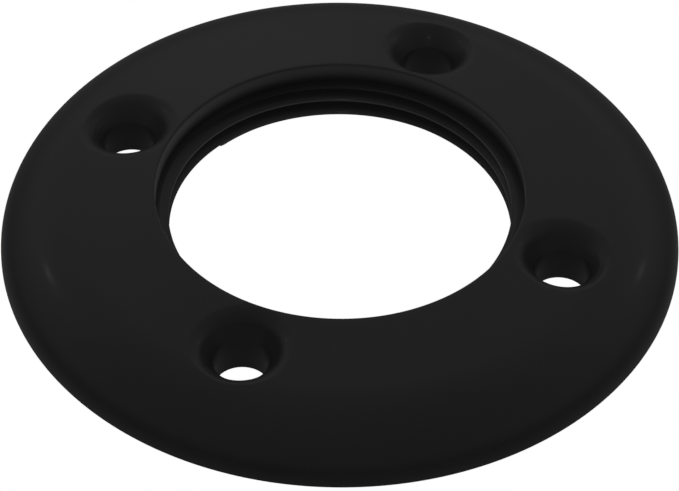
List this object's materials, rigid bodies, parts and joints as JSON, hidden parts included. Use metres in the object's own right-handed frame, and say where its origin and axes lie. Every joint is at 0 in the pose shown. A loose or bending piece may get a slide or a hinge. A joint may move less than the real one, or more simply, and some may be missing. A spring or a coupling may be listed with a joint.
{
  "type": "toilet flange",
  "caption": "Round domed floor flange with an internal pipe thread, countersunk screw holes and a face seal in its cored underside.",
  "frame": {"origin": "centre of the bore, on the flat underside that sits on the floor", "axes": "+Z along the bore, out of the domed face; +X and +Y each point through a screw hole"},
  "size_m": [0.089, 0.089, 0.0082],
  "materials": {
    "black_plastic": "satin black moulded plastic with a fine grain",
    "seal_rubber": "dull dark grey rubber"
  },
  "bodies": {
    "root": {"flange_ring": "black_plastic", "seal_ring": "seal_rubber"}
  },
  "joints": []
}
